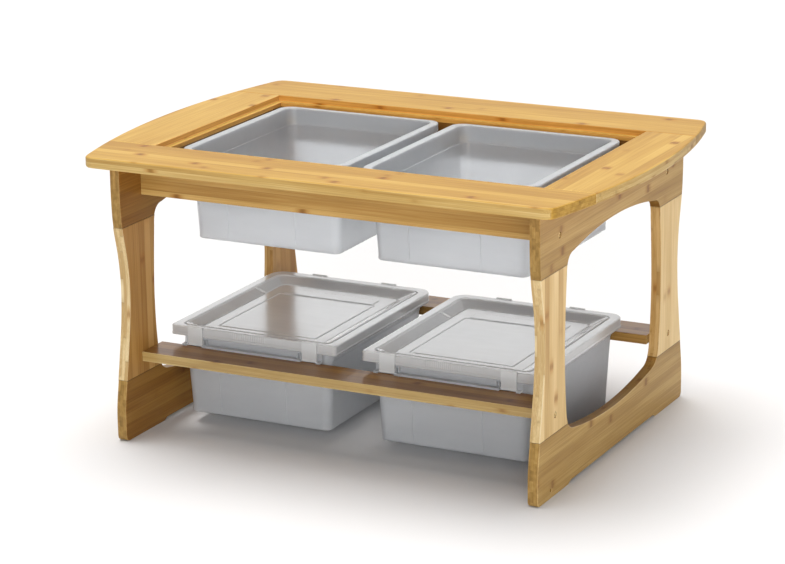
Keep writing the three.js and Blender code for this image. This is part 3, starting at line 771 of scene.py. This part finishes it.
def bin_end(end):
    """The collar, the slotted lip that the bin hangs by, and the gussets, at one end."""
    sign = ENDS[end]
    face = RIM_HALF[1]
    reach = RIM_HALF[0] - RIM_CORNER
    collar = block((-reach, reach), (sign * (face - WALL), sign * face), (SEAT, SKIRT_BOTTOM + 2), 0.4)
    near, mid, far = face - 1, face + 1.5, face + LIP_REACH
    comb = [(near, -reach), (far, -reach)]
    slots = sorted(hand * CLIP_OFFSET[end] + edge * CLIP_SLOT_HALF for hand in (-1, 1) for edge in (-1, 1))
    for low, high in (slots[:2], slots[2:]):
        comb += [(far, low), (mid, low), (mid, high), (far, high)]
    comb += [(far, reach), (near, reach)]
    lip = prism([(x, sign * y) for y, x in comb], Z, SEAT, SEAT + LIP_THICKNESS)
    ease_edges(lip, 0.6 * MM, 2)
    gussets = []
    for hand, away in product((-1, 1), GUSSET_AWAY):
        x = hand * (CLIP_OFFSET[end] - away)
        ys = (sign * (face - 1), sign * (face + 6))
        gussets.append(block((x - 1, x + 1), ys, (SEAT + 1, SKIRT_BOTTOM - 4), 0.5))
    return collar, lip, gussets


def bin_mesh():
    collars, lips, gussets = zip(*[bin_end(end) for end in ENDS])
    return combine(bin_shell(), ("UNION", joined(collars)), ("UNION", joined(lips)),
                   ("UNION", joined(sum(gussets, []))))


# ---- lids -------------------------------------------------------------------------------------
# millimetres above the bin's rim and from the lid's middle
LID_UNDER = 0.3
LID_TOP = 2.8
LID_SKIRT = 18.5
LID_RECESS = 9.5
LID_FLOOR = LID_TOP - LID_RECESS
LID_BOTTOM = LID_TOP - LID_SKIRT
LID_CLEARANCE = 0.4  # between the bin's rim and the skirt round it
HINGE = (202.2, LID_TOP - 1)  # half distance in y, and height, of the line that a clip turns on
CLIP_BARREL = 2.8
NOTCH_Y = 76
NOTCH_STATIONS = (-9, -6, -4.5, -3, -1.5, 0, 1.5, 3, 4.5, 6, 9)
GRIPS = [-47 + 3.8 * k for k in range(20)]
GRIP_PROUD = 0.7
PAD = {"x": 97, "front": 92, "rear": 124}  # a low raised panel on the lid's floor


def nested(x, front, rear):
    """Rings of one outline grown outward by different amounts."""
    def at(out, radius, z, **more):
        return ring(x + out, rear + out, radius, z, front=front - out, **more)
    return at


def lid_path():
    """The lid's section, from the underside of its floor out round the skirt and in to its upper side."""
    brim = nested(150, -187, 177)
    panel = nested(127, -176, 147)
    line = nested(103, -147, 88)
    front = {"front_radius": 12}

    def edge(inset, radius, z, front_radius, ribs=0.0):
        x, y = (half + LID_CLEARANCE - inset for half in RIM_HALF)
        return ring(x, y, radius, z, front_radius=front_radius, ribs=ribs)

    return [
        (panel(-40, 8, LID_FLOOR - 2.5), 0),
        (panel(1, 12, LID_FLOOR - 2.5), 2),
        (brim(1.5, 16, LID_UNDER, **front), 2),
        (edge(0, 26, LID_UNDER, 5), 1.2),
        (edge(0, 26, LID_BOTTOM, 5), 0.5),
        (edge(-2.6, 28, LID_BOTTOM, 7.5), 0.6),
        (edge(-2.6, 28, LID_BOTTOM + 3.5, 7.5), 0.4),
        (edge(-2, 28, LID_BOTTOM + 4.5, 7), 0.4),
        (edge(-2, 28, LID_BOTTOM + 5, 7), 0),
        (edge(-2, 28, LID_BOTTOM + 6, 7, ribs=1), 0),
        (edge(-2, 28, LID_TOP, 7, ribs=1), 2.6),
        (edge(2.5, 24, LID_TOP, 4), 0),
        (brim(6, 18, LID_TOP, **front), 0.4),
        (brim(5, 17, LID_TOP - 2, **front), 0.4),
        (brim(3.4, 16, LID_TOP - 2, **front), 0.4),
        (brim(2.4, 15, LID_TOP + 0.6, **front), 0.6),
        (brim(0.4, 15, LID_TOP + 0.6, **front), 0.6),
        (brim(-0.6, 14.8, LID_TOP - 0.6, **front), 0.4),
        (brim(-5, 13.5, LID_TOP - 2.3, **front, notch=1), 0),
        (panel(8, 13, LID_FLOOR + 3.2, notch=1), 0),
        (panel(1.6, 12, LID_FLOOR + 0.7), 0.4),
        (panel(1.2, 12, LID_FLOOR - 0.7), 0.3),
        (panel(-0.4, 12, LID_FLOOR - 0.7), 0.3),
        (panel(-1.4, 12, LID_FLOOR), 0.4),
        (line(2, 4, LID_FLOOR), 0.4),
        (line(1, 4, LID_FLOOR - 1.2), 0.4),
        (line(-1, 3, LID_FLOOR - 1.2), 0.4),
        (line(-2.2, 3, LID_FLOOR), 0.4),
        (line(-20, 3, LID_FLOOR), 0),
    ]


def lid_mesh():
    """A lid with its skirt, grip ribs at the front, thumb notches at the sides, and seats for its clips."""
    grips = [x + off for x in GRIPS for off in (-1.1, -0.4, 0.4, 1.1)]
    crests = [x + off for x in GRIPS for off in (-0.4, 0.4)]
    along = [NOTCH_Y + off for off in NOTCH_STATIONS]

    def push(point, shape):
        move = Vector((0, 0, 0))
        if shape[RIBS] > 0.01 and point.y < 0 and is_at(point.x, crests):
            move.y = -GRIP_PROUD * shape[RIBS]
        if shape[NOTCH] > 0.01 and abs(point.x) > shape[HALF] - 0.01:
            dip = math.exp(-((point.y - NOTCH_Y) / 3.6) ** 4)
            move.z = -2.6 * dip * shape[NOTCH]
        return move

    shell = loft(soften(lid_path()), across=grips, along=along, push=push)

    def pad_ring(inset, radius, z):
        return ring(PAD["x"] - inset, PAD["rear"] - inset, radius, z, front=PAD["front"] + inset)

    pad = loft(soften([(pad_ring(0, 4, LID_FLOOR - 1), 0), (pad_ring(0, 4, LID_FLOOR + 1), 1.2),
                       (pad_ring(7, 3, LID_FLOOR + 1), 0)]))
    y, z = HINGE
    seats = []
    for end, hand in product(ENDS, (-1, 1)):
        middle = hand * CLIP_OFFSET[end]
        half = CLIP_SLOT_HALF - 0.7
        section = circle(CLIP_BARREL + 0.3, (ENDS[end] * y, z), 28)
        seats.append(prism(section, X, middle - half, middle + half))
    return combine(shell, ("UNION", pad), ("DIFFERENCE", joined(seats)))


# ---- clips ------------------------------------------------------------------------------------
CLIP_HALF_WIDTH = 15.5
CLIP_LENGTH = 33.3
CLIP_THICKNESS = 2.2
CLIP_BOW = 0.5
CLIP_EASE = 0.45


def clip_mesh():
    """A lid clip: a round head on its hinge line, and a bowed plate with a catch bead and a lipped toe.

    Drawn at the front, in (y, z) from the hinge line, with its outside towards -y."""
    outer, long = CLIP_BARREL, CLIP_LENGTH
    inner = outer - CLIP_THICKNESS
    outside = [(outer + CLIP_BOW * math.sin(math.pi * t), -long * t)
               for t in (0.12, 0.25, 0.4, 0.55, 0.7, 0.82)]
    toe = [(outer + 0.2, -long + 3.4), (outer + 0.9, -long + 1.4), (outer + 0.7, -long + 0.3),
           (outer, -long), (inner + 0.3, -long), (inner, -long + 0.5)]
    bead = [(inner, -long + 2.5), (inner - 0.7, -long + 3.5),
            (inner - 0.7, -long + 4.3), (inner, -long + 5.3)]
    start = math.acos(inner / outer)
    head = circle(outer, (0, 0), 30, -start, -(2 * math.pi - start))
    section = [(-y, z) for y, z in outside + toe + bead + head[:-1]]
    bm = prism(section, X, -CLIP_HALF_WIDTH, CLIP_HALF_WIDTH)
    rims = [edge for edge in bm.edges if abs(edge.verts[0].co.x - edge.verts[1].co.x) < 1e-7]
    bmesh.ops.bevel(bm, geom=rims, offset=CLIP_EASE * MM, segments=2, profile=0.5, affect="EDGES",
                    clamp_overlap=True)
    return bm


def floor_place(node):
    """The middle of a bin's underside."""
    low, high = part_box(node)
    return Vector(((low.x + high.x) / 2, 0, low.z))


def moulded(mesh, place, material, node, turned=False):
    """Stands a copy of a mesh, turned round if asked, in for a node that is a body of its own."""
    bm = mesh.copy()
    if turned:
        bmesh.ops.rotate(bm, verts=bm.verts, matrix=Matrix.Rotation(math.pi, 3, "Z"))
    bmesh.ops.translate(bm, verts=bm.verts, vec=place)
    piece(f"{node}_moulded", node, bm, material, node)


def build_plastics():
    frosted = plastic("frosted_wall", (0.80, 0.82, 0.845), 0.33, 0.7)
    lid_grey = plastic("lid_plastic", (0.48, 0.485, 0.49), 0.22, 0.1, coat=1.0)
    clip_white = plastic("clip_plastic", (0.62, 0.635, 0.64), 0.25, 0.25, coat=0.4)
    tray = bin_mesh()
    cover = lid_mesh()
    latch = clip_mesh()
    for side in SIDES:
        for level in ("upper", "lower"):
            node = f"{level}_bin_{side}"
            moulded(tray, floor_place(node), frosted, node)
        place = floor_place(f"lower_bin_{side}")
        rim = Vector((place.x, 0, place.z + BIN_HEIGHT * MM))
        moulded(cover, rim, lid_grey, f"lid_{side}")
        for end, hand in product(ENDS, SIDES):
            node = f"clip_{side}_{end}_{hand}"
            hinge = Vector((SIDES[hand] * CLIP_OFFSET[end], ENDS[end] * HINGE[0], HINGE[1])) * MM
            moulded(latch, rim + hinge, clip_white, node, turned=end == "rear")
    for mesh in (tray, cover, latch):
        mesh.free()


# ---- assembly ---------------------------------------------------------------------------------
add_camera()
add_floor()
add_lights()
add_world()
build_wood()
build_fasteners()
build_plastics()
